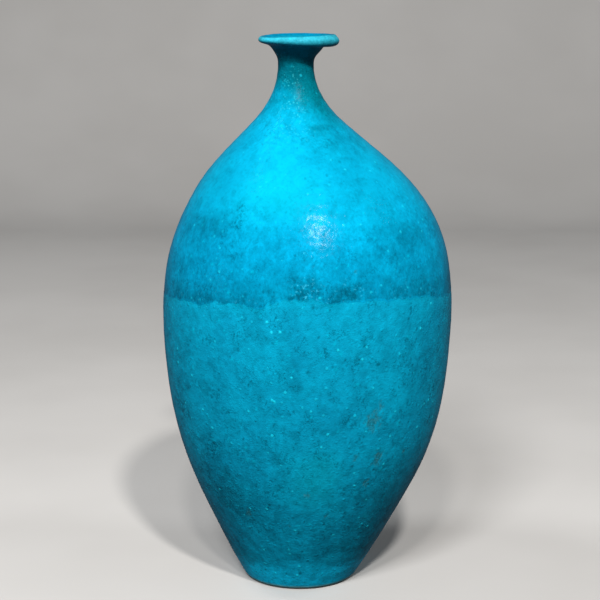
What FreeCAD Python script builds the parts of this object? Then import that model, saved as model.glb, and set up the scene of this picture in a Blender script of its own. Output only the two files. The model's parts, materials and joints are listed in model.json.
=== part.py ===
import FreeCAD
import Part
import math
import os
import sys

import Sketcher

# A tall hand-thrown bottle vase: narrow flat foot, egg-shaped belly, long
# sloping shoulder, slim neck and a flat flared lip, under a turquoise glaze.
#
# It is built the way a potter builds a large bottle. Three thrown clay
# sections (base, shoulder, neck with its lip) are luted together with rings of
# joining slip: a V-groove and ridge at the waist, a scored butt joint at the
# root of the neck. A liner glaze covers the inside. The outside carries two
# coats, poured from either end, that meet along a slightly sloping line at the
# waist. The foot is wiped bare and turned to a ring.
#
# Frame: millimetres, +Z up, origin at the centre of the foot, on the plane that
# the vase stands on. The thrown walls are round at every level, but their
# centres drift a few millimetres sideways on the way up, as on a hand-thrown
# pot, so each form is lofted through its own circles.

OUT = "parts"
os.makedirs(OUT, exist_ok=True)

doc = FreeCAD.newDocument("bottle_vase")
sizes = doc.addObject("Spreadsheet::Sheet", "Sizes")
sizes.Label = "Sizes"
row = [1]


def cell(alias, value, note=""):
    """One driving dimension: its name, its number and its alias."""
    n = row[0]
    sizes.set("A%d" % n, alias)
    sizes.set("B%d" % n, repr(float(value)))
    sizes.setAlias("B%d" % n, alias)
    if note:
        sizes.set("C%d" % n, note)
    row[0] = n + 1


def val(alias):
    return float(sizes.get(alias))


# ---------------------------------------------------------------- dimensions
# Outside of the glaze: level, radius and centre of each section, foot to lip.
OUTER = [
    (0.0, 39.6, 0.0),
    (0.4, 41.5, 0.0),
    (1.5, 43.2, 0.1),
    (4.2, 45.3, 0.2),
    (9.5, 48.5, 0.5),
    (20.0, 54.4, 1.0),
    (42.0, 65.9, 2.0),
    (66.0, 78.0, 3.0),
    (92.0, 89.9, 4.1),
    (120.0, 99.3, 4.9),
    (150.0, 105.4, 5.3),
    (180.0, 108.7, 5.3),
    (208.0, 110.0, 5.3),
    (234.0, 108.9, 5.6),
    (256.0, 105.5, 6.1),
    (276.0, 99.1, 6.3),
    (294.0, 90.1, 5.6),
    (310.0, 79.3, 4.0),
    (324.0, 66.8, 2.2),
    (338.0, 52.0, 0.4),
    (352.0, 36.9, -1.1),
    (362.0, 27.3, -1.9),
    (372.0, 20.4, -2.5),
    (382.0, 15.9, -2.9),
    (392.0, 13.8, -3.1),
    (399.0, 13.5, -3.1),
    (405.0, 14.7, -3.0),
    (409.0, 17.4, -2.7),
    (411.8, 22.0, -2.1),
    (413.2, 27.4, -1.3),
    (415.1, 30.0, -1.0),
    (417.2, 29.0, -1.0),
]
GLAZE_START = 3  # the section at the lower edge of the glaze
# Inside of the clay: level, radius and centre, from the floor to the lip.
INNER = [
    (9.0, 30.0, 0.4),
    (11.2, 36.8, 0.6),
    (17.0, 42.6, 0.9),
    (27.0, 49.4, 1.3),
    (42.0, 58.2, 2.0),
    (66.0, 70.8, 3.0),
    (92.0, 83.1, 4.1),
    (120.0, 92.7, 4.9),
    (150.0, 98.9, 5.3),
    (180.0, 102.3, 5.3),
    (208.0, 103.6, 5.3),
    (234.0, 102.5, 5.6),
    (256.0, 98.9, 6.1),
    (276.0, 92.1, 6.3),
    (294.0, 82.5, 5.6),
    (310.0, 71.2, 4.0),
    (324.0, 58.5, 2.2),
    (338.0, 43.8, 0.4),
    (352.0, 29.3, -1.1),
    (362.0, 20.7, -1.9),
    (372.0, 15.0, -2.5),
    (382.0, 11.5, -2.9),
    (392.0, 9.9, -3.1),
    (399.0, 9.6, -3.1),
    (405.0, 10.6, -3.0),
    (409.4, 13.0, -2.7),
    (412.8, 17.0, -2.1),
    (414.9, 21.4, -1.4),
    (416.2, 25.2, -1.1),
    (417.2, 28.2, -1.0),
    (418.2, 32.0, -1.0),
]

cell("glaze_thickness", 0.7, "outer glaze coat, along the surface normal")
cell("liner_thickness", 0.5, "liner glaze on the inside")
cell("slip_thickness", 0.8, "fired joining slip between two clay sections")
cell("waist_joint_level", 234.0, "level land of the waist joint")
cell("waist_centre", 5.6, "sideways drift of the wall at the waist joint")
cell("groove_depth", 3.5, "depth of the V-groove in the base section's edge")
cell("groove_inner", 103.9, "inner edge of the V-groove")
cell("groove_bottom", 105.4, "bottom of the V-groove")
cell("groove_outer", 106.9, "outer edge of the V-groove")
cell("neck_joint_level", 352.0, "flat joint between shoulder and neck")
cell("glaze_line_level", 234.5, "level of the line between the two coats at the axis")
cell("glaze_line_tilt", 3.0, "slope of that line, in degrees, higher at the front")
cell("recess_radius", 33.0, "turned recess under the foot, at the foot's plane")
cell("recess_top_radius", 30.5, "the same recess at its top")
cell("recess_depth", 2.4, "depth of the turned recess")
cell("tool_size", 400.0, "side of the cutting blocks")


def slopes(table):
    """The outward unit normal (radial, vertical) of the profile at each section."""
    found = []
    for i, (z, r, _c) in enumerate(table):
        lo, hi = max(0, i - 1), min(len(table) - 1, i + 1)
        if 0 < i < len(table) - 1:
            z0, r0, _ = table[i - 1]
            z1, r1, _ = table[i + 1]
            a, b = math.hypot(z - z0, r - r0), math.hypot(z1 - z, r1 - r)
            dz = (z - z0) / a * b + (z1 - z) / b * a
            dr = (r - r0) / a * b + (r1 - r) / b * a
        else:
            dz, dr = table[hi][0] - table[lo][0], table[hi][1] - table[lo][1]
        s = math.hypot(dz, dr)
        found.append((dz / s, -dr / s))
    return found


for i, ((z, r, c), (nr, nz)) in enumerate(zip(OUTER, slopes(OUTER))):
    cell("outer_level_%02d" % i, z)
    cell("outer_radius_%02d" % i, r)
    cell("outer_centre_%02d" % i, c)
    cell("outer_across_%02d" % i, round(nr, 5))
    cell("outer_along_%02d" % i, round(nz, 5))
for i, ((z, r, c), (nr, nz)) in enumerate(zip(INNER, slopes(INNER))):
    cell("inner_level_%02d" % i, z)
    cell("inner_radius_%02d" % i, r)
    cell("inner_centre_%02d" % i, c)
    cell("inner_across_%02d" % i, round(nr, 5))
    cell("inner_along_%02d" % i, round(nz, 5))
doc.recompute()


# ------------------------------------------------------------------- helpers
def origin_plane(body, role):
    return [f for f in body.Origin.OriginFeatures if f.Role == role][0]


def circle_section(body, name, level, radius, centre):
    """A sketch with one circle, in two halves that meet on the X axis. level, radius and centre are expressions."""
    sk = body.newObject("Sketcher::SketchObject", name)
    sk.AttachmentSupport = [(origin_plane(body, "XY_Plane"), "")]
    sk.MapMode = "FlatFace"
    whole = Part.Circle(FreeCAD.Vector(1.0, 0, 0), FreeCAD.Vector(0, 0, 1), 20.0)
    sk.addGeometry(Part.ArcOfCircle(whole, 0.0, math.pi), False)
    sk.addGeometry(Part.ArcOfCircle(whole, math.pi, 2.0 * math.pi), False)
    sk.addConstraint(Sketcher.Constraint("PointOnObject", 0, 3, -1))
    sk.addConstraint(Sketcher.Constraint("Coincident", 0, 3, 1, 3))
    sk.addConstraint(Sketcher.Constraint("Coincident", 0, 2, 1, 1))
    sk.addConstraint(Sketcher.Constraint("Coincident", 0, 1, 1, 2))
    sk.addConstraint(Sketcher.Constraint("PointOnObject", 0, 1, -1))
    sk.addConstraint(Sketcher.Constraint("PointOnObject", 0, 2, -1))
    k = sk.addConstraint(Sketcher.Constraint("Radius", 0, 20.0))
    sk.setExpression("Constraints[%d]" % k, radius)
    k = sk.addConstraint(Sketcher.Constraint("DistanceX", -1, 1, 0, 3, 1.0))
    sk.setExpression("Constraints[%d]" % k, centre)
    sk.setExpression("AttachmentOffset.Base.z", level)
    return sk


def lofted(name, prefix, count, offset=None, ends=(), first=0):
    """A body lofted through circles: the surface of the named table, moved inwards along its normal by the cell offset. ends lists the sections that keep their level."""
    body = doc.addObject("PartDesign::Body", name)
    body.Label = name
    sketches = []
    for i in range(first, count):
        key = (prefix, i)
        level = "Sizes.%s_level_%02d" % key
        radius = "Sizes.%s_radius_%02d" % key
        centre = "Sizes.%s_centre_%02d" % key
        if offset:
            radius += " - Sizes.%s * Sizes.%s_across_%02d" % ((offset,) + key)
            if i not in ends:
                level += " - Sizes.%s * Sizes.%s_along_%02d" % ((offset,) + key)
        sketches.append(
            circle_section(body, "%s_section_%02d" % (name, i), level, radius, centre)
        )
    doc.recompute()
    loft = body.newObject("PartDesign::AdditiveLoft", name + "_loft")
    loft.Profile = sketches[0]
    loft.Sections = sketches[1:]
    loft.Ruled = False
    doc.recompute()
    return body


def outline_sketch(body, name, points):
    """A closed outline on the XZ plane. Each point is (x, z) as sheet expressions or plain numbers."""
    sk = body.newObject("Sketcher::SketchObject", name)
    sk.AttachmentSupport = [(origin_plane(body, "XZ_Plane"), "")]
    sk.MapMode = "FlatFace"
    xy = [[sum_of_cells(v) for v in p] for p in points]
    n = len(points)
    for i in range(n):
        a, b = xy[i], xy[(i + 1) % n]
        sk.addGeometry(
            Part.LineSegment(
                FreeCAD.Vector(a[0], a[1], 0), FreeCAD.Vector(b[0], b[1], 0)
            ),
            False,
        )
    for i in range(n):
        sk.addConstraint(Sketcher.Constraint("Coincident", i, 2, (i + 1) % n, 1))
    for i, p in enumerate(points):
        for k, kind in ((0, "DistanceX"), (1, "DistanceY")):
            if abs(xy[i][k]) < 1e-9:
                axis = -2 if k == 0 else -1
                sk.addConstraint(Sketcher.Constraint("PointOnObject", i, 1, axis))
            else:
                c = sk.addConstraint(
                    Sketcher.Constraint(kind, -1, 1, i, 1, xy[i][k])
                )
                if isinstance(p[k], str):
                    sk.setExpression("Constraints[%d]" % c, p[k])
    return sk


def sum_of_cells(v):
    """The number that an expression of sums of cells gives."""
    if not isinstance(v, str):
        return float(v)
    total, sign = 0.0, 1.0
    for word in v.split():
        if word == "+":
            sign = 1.0
        elif word == "-":
            sign = -1.0
        elif word.startswith("Sizes."):
            total += sign * val(word[6:])
        else:
            total += sign * float(word)
    return total


def boolean(kind, name, base, tool):
    o = doc.addObject("Part::" + kind, name)
    o.Label = name
    o.Base = base
    o.Tool = tool
    return o


def block(name, level, below):
    """A block whose top face (below) or bottom face (not below) lies at the sheet's cell level."""
    b = doc.addObject("Part::Box", name)
    b.Label = name
    for side in ("Length", "Width", "Height"):
        b.setExpression(side, "Sizes.tool_size")
    b.setExpression("Placement.Base.x", "-Sizes.tool_size / 2")
    b.setExpression("Placement.Base.y", "-Sizes.tool_size / 2")
    b.setExpression(
        "Placement.Base.z", level + (" - Sizes.tool_size" if below else "")
    )
    return b


# --------------------------------------------------------------------- forms
# the glaze starts at the fourth section: the rounded edge below it is bare clay
glaze_form = lofted("glaze_form", "outer", len(OUTER), first=GLAZE_START)
clay_form = lofted("clay_form", "outer", len(OUTER), "glaze_thickness", ends=(0,))
cavity_form = lofted("cavity_form", "inner", len(INNER))
# the lowest liner section is the floor: it rises by the liner's thickness
liner_form = doc.addObject("PartDesign::Body", "liner_form")
liner_form.Label = "liner_form"
liner_sketches = []
for i in range(len(INNER)):
    level = "Sizes.inner_level_%02d - Sizes.liner_thickness * Sizes.inner_along_%02d" % (i, i)
    if i == 0:
        level = "Sizes.inner_level_00 + Sizes.liner_thickness"
    radius = "Sizes.inner_radius_%02d - Sizes.liner_thickness * Sizes.inner_across_%02d" % (i, i)
    liner_sketches.append(
        circle_section(
            liner_form, "liner_section_%02d" % i, level, radius, "Sizes.inner_centre_%02d" % i
        )
    )
doc.recompute()
liner_loft = liner_form.newObject("PartDesign::AdditiveLoft", "liner_form_loft")
liner_loft.Profile = liner_sketches[0]
liner_loft.Sections = liner_sketches[1:]
doc.recompute()

# ----------------------------------------------------------- joining surfaces
def waist_tool(name, lift):
    """Everything below the waist joint's surface, raised by lift: a level land with a V-groove in it, turned about the pot's centre at that level."""
    body = doc.addObject("PartDesign::Body", name)
    body.Label = name
    level = "Sizes.waist_joint_level" + lift
    sk = outline_sketch(
        body,
        name + "_outline",
        [
            (0.0, -20.0),
            (150.0, -20.0),
            (150.0, level),
            ("Sizes.groove_outer", level),
            ("Sizes.groove_bottom", level + " - Sizes.groove_depth"),
            ("Sizes.groove_inner", level),
            (0.0, level),
        ],
    )
    doc.recompute()
    turned = body.newObject("PartDesign::Revolution", name + "_turned")
    turned.Profile = sk
    turned.ReferenceAxis = (sk, ["V_Axis"])
    turned.Angle = 360.0
    body.setExpression("Placement.Base.x", "Sizes.waist_centre")
    doc.recompute()
    return body


waist_low = waist_tool("waist_low", "")
waist_high = waist_tool("waist_high", " + Sizes.slip_thickness")
neck_low = block("neck_low", "Sizes.neck_joint_level", True)
neck_high = block("neck_high", "Sizes.neck_joint_level + Sizes.slip_thickness", False)
neck_slab = doc.addObject("Part::Box", "neck_slab")
for side in ("Length", "Width"):
    neck_slab.setExpression(side, "Sizes.tool_size")
neck_slab.setExpression("Height", "Sizes.slip_thickness")
neck_slab.setExpression("Placement.Base.x", "-Sizes.tool_size / 2")
neck_slab.setExpression("Placement.Base.y", "-Sizes.tool_size / 2")
neck_slab.setExpression("Placement.Base.z", "Sizes.neck_joint_level")

recess = doc.addObject("Part::Cone", "foot_recess")
recess.setExpression("Radius1", "Sizes.recess_radius")
recess.setExpression("Radius2", "Sizes.recess_top_radius")
recess.setExpression("Height", "Sizes.recess_depth")

# The line between the two coats: a block whose top face slopes, higher towards
# the front (-Y), through the stated level at the axis.
line_low = doc.addObject("Part::Box", "glaze_line_block")
for side in ("Length", "Width", "Height"):
    line_low.setExpression(side, "Sizes.tool_size")
side, tilt = val("tool_size"), math.radians(-val("glaze_line_tilt"))
line_low.Placement = FreeCAD.Placement(
    FreeCAD.Vector(
        -side / 2,
        -(side / 2 * math.cos(tilt) - side * math.sin(tilt)),
        val("glaze_line_level") - (side / 2 * math.sin(tilt) + side * math.cos(tilt)),
    ),
    FreeCAD.Rotation(FreeCAD.Vector(1, 0, 0), math.degrees(tilt)),
)
doc.recompute()

# ------------------------------------------------------------------ sub-parts
clay_wall = boolean("Cut", "clay_wall", clay_form, cavity_form)
doc.recompute()

below_waist = boolean("Common", "clay_below_waist", clay_wall, waist_low)
base_section = boolean("Cut", "base_section", below_waist, recess)

to_waist_high = boolean("Common", "clay_to_waist_high", clay_wall, waist_high)
waist_slip_joint = boolean("Cut", "waist_slip_joint", to_waist_high, waist_low)

above_waist = boolean("Cut", "clay_above_waist", clay_wall, waist_high)
shoulder_section = boolean("Common", "shoulder_section", above_waist, neck_low)
neck_slip_joint = boolean("Common", "neck_slip_joint", clay_wall, neck_slab)
neck_section = boolean("Common", "neck_section", clay_wall, neck_high)

glaze_skin = boolean("Cut", "glaze_skin", glaze_form, clay_form)
glaze_coat = boolean("Cut", "glaze_coat", glaze_skin, cavity_form)
doc.recompute()
lower_glaze = boolean("Common", "lower_glaze", glaze_coat, line_low)
upper_glaze = boolean("Cut", "upper_glaze", glaze_coat, line_low)

liner_skin = boolean("Cut", "liner_skin", cavity_form, liner_form)
liner_top = block("liner_top_block", "Sizes.outer_level_%02d" % (len(OUTER) - 1), True)
inner_glaze = boolean("Common", "inner_glaze", liner_skin, liner_top)
doc.recompute()

PARTS = [
    base_section,
    waist_slip_joint,
    shoulder_section,
    neck_slip_joint,
    neck_section,
    lower_glaze,
    upper_glaze,
    inner_glaze,
]

# -------------------------------------------------------------------- checks
bad = [o.Name for o in doc.Objects if "Invalid" in o.State or "Error" in o.State]
if bad:
    sys.exit("failed objects: %s" % bad)
for o in PARTS:
    s = o.Shape
    if s.isNull() or not s.isValid() or len(s.Solids) != 1:
        sys.exit(
            "%s is not one valid solid: null %s, valid %s, solids %d"
            % (o.Label, s.isNull(), (not s.isNull()) and s.isValid(), len(s.Solids))
        )
total = 0.0
for o in PARTS:
    s = o.Shape
    b = s.BoundBox
    total += s.Volume
    print(
        "%-18s %10.1f mm3  x %.1f..%.1f  y %.1f..%.1f  z %.2f..%.2f  faces %d"
        % (o.Label, s.Volume, b.XMin, b.XMax, b.YMin, b.YMax, b.ZMin, b.ZMax, len(s.Faces))
    )
whole = glaze_form.Shape.Volume - liner_form.Shape.Volume
print("sum %.1f mm3; glaze form less liner form %.1f mm3" % (total, whole))

for name in os.listdir(OUT):
    if name.endswith(".step"):
        os.remove(os.path.join(OUT, name))
for o in PARTS:
    o.Shape.exportStep(os.path.join(OUT, o.Label + ".step"))
print("wrote", len(PARTS), "parts")
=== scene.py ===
import bpy
import json
import math
import numpy as np
from mathutils import Matrix, Vector

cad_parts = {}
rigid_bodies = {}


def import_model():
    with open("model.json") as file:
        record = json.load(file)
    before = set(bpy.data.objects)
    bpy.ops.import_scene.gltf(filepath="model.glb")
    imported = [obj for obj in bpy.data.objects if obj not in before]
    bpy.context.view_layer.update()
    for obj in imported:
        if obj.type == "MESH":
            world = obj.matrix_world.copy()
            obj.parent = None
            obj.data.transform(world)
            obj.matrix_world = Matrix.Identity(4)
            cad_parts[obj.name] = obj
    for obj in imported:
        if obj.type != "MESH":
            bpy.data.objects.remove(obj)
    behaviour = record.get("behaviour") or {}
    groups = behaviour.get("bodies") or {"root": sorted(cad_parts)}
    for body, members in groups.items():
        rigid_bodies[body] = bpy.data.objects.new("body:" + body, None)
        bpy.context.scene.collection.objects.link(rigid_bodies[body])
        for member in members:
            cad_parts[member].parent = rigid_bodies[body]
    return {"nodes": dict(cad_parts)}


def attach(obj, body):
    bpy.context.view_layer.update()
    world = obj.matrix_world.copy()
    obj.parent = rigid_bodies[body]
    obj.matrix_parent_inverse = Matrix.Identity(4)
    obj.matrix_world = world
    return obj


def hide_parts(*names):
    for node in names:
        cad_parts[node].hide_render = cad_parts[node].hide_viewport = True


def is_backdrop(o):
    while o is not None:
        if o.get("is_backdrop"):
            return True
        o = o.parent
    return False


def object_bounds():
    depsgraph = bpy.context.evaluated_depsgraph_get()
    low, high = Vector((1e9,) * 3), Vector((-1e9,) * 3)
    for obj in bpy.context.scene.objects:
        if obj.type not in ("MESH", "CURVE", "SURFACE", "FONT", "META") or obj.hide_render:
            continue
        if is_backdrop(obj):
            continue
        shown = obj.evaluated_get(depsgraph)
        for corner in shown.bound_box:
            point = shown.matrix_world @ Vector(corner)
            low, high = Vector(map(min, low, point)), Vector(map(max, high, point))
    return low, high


for o in list(bpy.data.objects):
    bpy.data.objects.remove(o)

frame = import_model()


def plain(b):
    """Any nest of vectors as lists of numbers."""
    if isinstance(b, dict):
        return {str(k): plain(v) for k, v in b.items()}
    if isinstance(b, (int, float, str)) or b is None:
        return b
    return [plain(v) for v in b]


bounds_before = plain(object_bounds())
RNG = np.random.default_rng(20)
MM = 0.001

# ------------------------------------------------------------------ profiles
# (level, radius, sideways drift) in mm: outside of the glaze and inside of the
# clay, the same tables as the CAD part.
OUTER = [
    (0.0, 39.6, 0.0), (0.4, 41.5, 0.0), (1.5, 43.2, 0.1), (4.2, 45.3, 0.2),
    (9.5, 48.5, 0.5), (20.0, 54.4, 1.0), (42.0, 65.9, 2.0), (66.0, 78.0, 3.0),
    (92.0, 89.9, 4.1), (120.0, 99.3, 4.9), (150.0, 105.4, 5.3), (180.0, 108.7, 5.3),
    (208.0, 110.0, 5.3), (234.0, 108.9, 5.6), (256.0, 105.5, 6.1), (276.0, 99.1, 6.3),
    (294.0, 90.1, 5.6), (310.0, 79.3, 4.0), (324.0, 66.8, 2.2), (338.0, 52.0, 0.4),
    (352.0, 36.9, -1.1), (362.0, 27.3, -1.9), (372.0, 20.4, -2.5), (382.0, 15.9, -2.9),
    (392.0, 13.8, -3.1), (399.0, 13.5, -3.1), (405.0, 14.7, -3.0), (409.0, 17.4, -2.7),
    (411.8, 22.0, -2.1), (413.2, 27.4, -1.3), (415.1, 30.0, -1.0), (417.2, 29.0, -1.0),
]
INNER = [
    (9.0, 30.0, 0.4), (11.2, 36.8, 0.6), (17.0, 42.6, 0.9), (27.0, 49.4, 1.3),
    (42.0, 58.2, 2.0), (66.0, 70.8, 3.0), (92.0, 83.1, 4.1), (120.0, 92.7, 4.9),
    (150.0, 98.9, 5.3), (180.0, 102.3, 5.3), (208.0, 103.6, 5.3), (234.0, 102.5, 5.6),
    (256.0, 98.9, 6.1), (276.0, 92.1, 6.3), (294.0, 82.5, 5.6), (310.0, 71.2, 4.0),
    (324.0, 58.5, 2.2), (338.0, 43.8, 0.4), (352.0, 29.3, -1.1), (362.0, 20.7, -1.9),
    (372.0, 15.0, -2.5), (382.0, 11.5, -2.9), (392.0, 9.9, -3.1), (399.0, 9.6, -3.1),
    (405.0, 10.6, -3.0), (409.4, 13.0, -2.7), (412.8, 17.0, -2.1), (414.9, 21.4, -1.4),
    (416.2, 25.2, -1.1), (417.2, 28.2, -1.0),
]


def spline(table, per=24):
    """A natural cubic spline through the table's rows, densely sampled: arrays s (path length), z, r, c."""
    p = np.array(table, float)
    t = np.concatenate([[0], np.cumsum(np.hypot(np.diff(p[:, 0]), np.diff(p[:, 1])))])
    n = len(t)
    h = np.diff(t)
    a = np.zeros((n, n))
    b = np.zeros((n, p.shape[1]))
    a[0, 0] = a[-1, -1] = 1.0
    for i in range(1, n - 1):
        a[i, i - 1], a[i, i], a[i, i + 1] = h[i - 1], 2 * (h[i - 1] + h[i]), h[i]
        b[i] = 6 * ((p[i + 1] - p[i]) / h[i] - (p[i] - p[i - 1]) / h[i - 1])
    m = np.linalg.solve(a, b)
    out = []
    for i in range(n - 1):
        u = np.linspace(0, 1, per, endpoint=(i == n - 2))[:, None]
        x = u * h[i]
        y = h[i] - x
        out.append(
            m[i] * y**3 / (6 * h[i]) + m[i + 1] * x**3 / (6 * h[i])
            + (p[i] / h[i] - m[i] * h[i] / 6) * y + (p[i + 1] / h[i] - m[i + 1] * h[i] / 6) * x
        )
    q = np.concatenate(out)
    s = np.concatenate([[0], np.cumsum(np.hypot(np.diff(q[:, 0]), np.diff(q[:, 1])))])
    return s, q[:, 0], q[:, 1], q[:, 2]


OUT_S, OUT_Z, OUT_R, OUT_C = spline(OUTER)
IN_S, IN_Z, IN_R, IN_C = spline(INNER)


def out_at(s):
    return np.interp(s, OUT_S, OUT_Z), np.interp(s, OUT_S, OUT_R), np.interp(s, OUT_S, OUT_C)


def in_at(s):
    return np.interp(s, IN_S, IN_Z), np.interp(s, IN_S, IN_R), np.interp(s, IN_S, IN_C)


LOW = OUT_Z < 416.0
S_OF_Z = lambda z: np.interp(z, OUT_Z[LOW], OUT_S[LOW])
S_IN_OF_Z = lambda z: np.interp(z, IN_Z, IN_S)


# --------------------------------------------------------------------- noise
def lattice(ix, iy, iz, seed):
    h = (ix * 374761393 + iy * 668265263 + iz * 2147483647 + seed * 974634777) & 0xFFFFFFFF
    h = ((h ^ (h >> 13)) * 1274126177) & 0xFFFFFFFF
    h = ((h ^ (h >> 16)) * 2246822519) & 0xFFFFFFFF
    return ((h ^ (h >> 15)) & 0xFFFFFF) / float(0xFFFFFF) * 2 - 1


def noise(p, size, seed=0, stretch=(1, 1, 1)):
    """Smooth value noise, about -1..1, of the points p (mm) with cells of that size."""
    q = p / (np.array(stretch, float) * size)
    f = np.floor(q).astype(np.int64)
    w = q - f
    w = w * w * w * (w * (w * 6 - 15) + 10)
    total = 0.0
    for dx in (0, 1):
        for dy in (0, 1):
            for dz in (0, 1):
                k = (
                    (w[..., 0] if dx else 1 - w[..., 0])
                    * (w[..., 1] if dy else 1 - w[..., 1])
                    * (w[..., 2] if dz else 1 - w[..., 2])
                )
                total = total + k * lattice(f[..., 0] + dx, f[..., 1] + dy, f[..., 2] + dz, seed)
    return total * 1.5


def fractal(p, size, seed=0, octaves=3, gain=0.5, stretch=(1, 1, 1)):
    total, amp, norm = 0.0, 1.0, 0.0
    for k in range(octaves):
        total = total + amp * noise(p, size / 2**k, seed + 17 * k, stretch)
        norm += amp
        amp *= gain
    return total / norm


def step(a, b, x):
    t = np.clip((x - a) / (b - a), 0, 1)
    return t * t * (3 - 2 * t)


# ------------------------------------------------------------ the glaze line
# (azimuth, level): 0 is the front (-Y), positive towards +X.
LINE = [
    (-180, 229.2), (-160, 228.0), (-140, 229.6), (-122, 230.4), (-105, 228.4), (-88, 226.8),
    (-73, 227.8), (-69, 229.5), (-60, 231.7), (-53, 232.8), (-46, 232.0), (-40, 235.1),
    (-35, 236.3), (-28, 235.5), (-22, 234.5), (-19, 234.2), (-15, 238.2), (-11, 240.7),
    (-5, 241.7), (0.6, 241.4), (4.3, 240.3), (8.1, 238.1), (12, 239.2), (16.5, 240.5),
    (21.7, 238.8), (27.9, 239.2), (34.7, 238.8), (42.3, 237.4), (51, 235.5), (60, 233.3),
    (70, 231.2), (84, 230.6), (98, 228.9), (116, 230.8), (134, 229.0), (156, 230.4), (180, 229.2),
]
LA = np.array([a for a, _ in LINE], float)
LZ = np.array([z for _, z in LINE], float) - 0.4


def line_level(az):
    """Level of the glaze line at azimuth az, in degrees."""
    a = (az + 180) % 360 - 180
    z = 0
    for k in (-1.2, 0, 1.2):
        z = z + np.interp(a + k, LA, LZ, period=360) / 3
    ring = np.stack([100 * np.sin(np.radians(a)), -100 * np.cos(np.radians(a)), 0 * a], -1)
    return z + 0.7 * noise(ring, 6.0, 3) + 0.55 * noise(ring, 2.6, 4) + 0.3 * noise(ring, 1.4, 9)


def azimuth(theta):
    """Degrees from the front, positive towards +X, of an angle counted from +X."""
    return (np.degrees(theta) + 90 + 180) % 360 - 180


# rough dark patches on the line: (azimuth, half width, top above the line, weight)
PATCHES = [
    (-26.5, 10.5, 12, 0.48), (-1.8, 9.5, 18, 1.05), (14.0, 10.0, 15, 1.05), (39.0, 9.0, 16, 0.65),
    (55.0, 9.0, 17, 0.55), (-43, 10.0, 13, 0.42), (-62, 12.0, 18, 0.5), (78, 6.0, 18, 0.8),
    (103, 9.0, 14, 1.0), (131, 6.0, 20, 0.8), (158, 8.0, 12, 0.9), (-170, 7.0, 17, 1.0),
    (-143, 6.0, 13, 0.8), (-112, 9.0, 18, 1.0), (-86, 5.0, 12, 0.7),
]
# worn spots that let the brown body show: (azimuth, level, half width mm, half height mm)
WORN = [
    (26.5, 149, 6.5, 8.5), (29.5, 160, 2.0, 3.2), (31.5, 118, 4.0, 6.5), (20.5, 121, 2.0, 2.6), (0.5, 90, 3.0, 3.0),
    (18.5, 259.5, 1.2, 1.4), (28, 98, 2.6, 3.2), (-31, 70, 3.0, 4.0), (-128, 120, 3.5, 4.5),
    (95, 170, 3.0, 4.0), (150, 88, 3.2, 3.0), (-95, 182, 2.2, 3.2), (-165, 66, 3.5, 3.2),
    (46, 118, 1.8, 2.2), (-8, 62, 2.4, 1.8), (12, 72, 2.6, 2.0),
]


# sooty places, where dark specks gather: (azimuth, level, half width mm, half height mm, weight)
SOOT = [
    (18.5, 192, 9, 8, 0.9), (21.0, 176, 6, 6, 0.6), (-19.0, 181, 6, 3, 0.8), (15.5, 150, 7, 6, 0.7), (-37, 168, 9, 8, 0.6),
    (-44, 121, 12, 14, 0.9), (-9, 121, 9, 4, 0.7), (-20, 60, 12, 9, 0.7), (38, 108, 8, 12, 0.6), (-33, 292, 7, 11, 0.9),
    (-29, 268, 8, 4, 0.7), (12, 66, 12, 6, 0.6), (52, 176, 10, 13, 0.6), (-64, 150, 12, 16, 0.7), (41, 300, 7, 9, 0.5),
    (84, 206, 12, 10, 0.7), (104, 128, 14, 12, 0.8), (133, 196, 9, 12, 0.7), (160, 110, 14, 9, 0.7), (-158, 176, 11, 13, 0.8),
    (-128, 96, 13, 12, 0.8), (-104, 206, 10, 8, 0.7), (172, 283, 9, 10, 0.6), (-92, 291, 8, 9, 0.6), (118, 276, 9, 8, 0.6),
]


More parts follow.
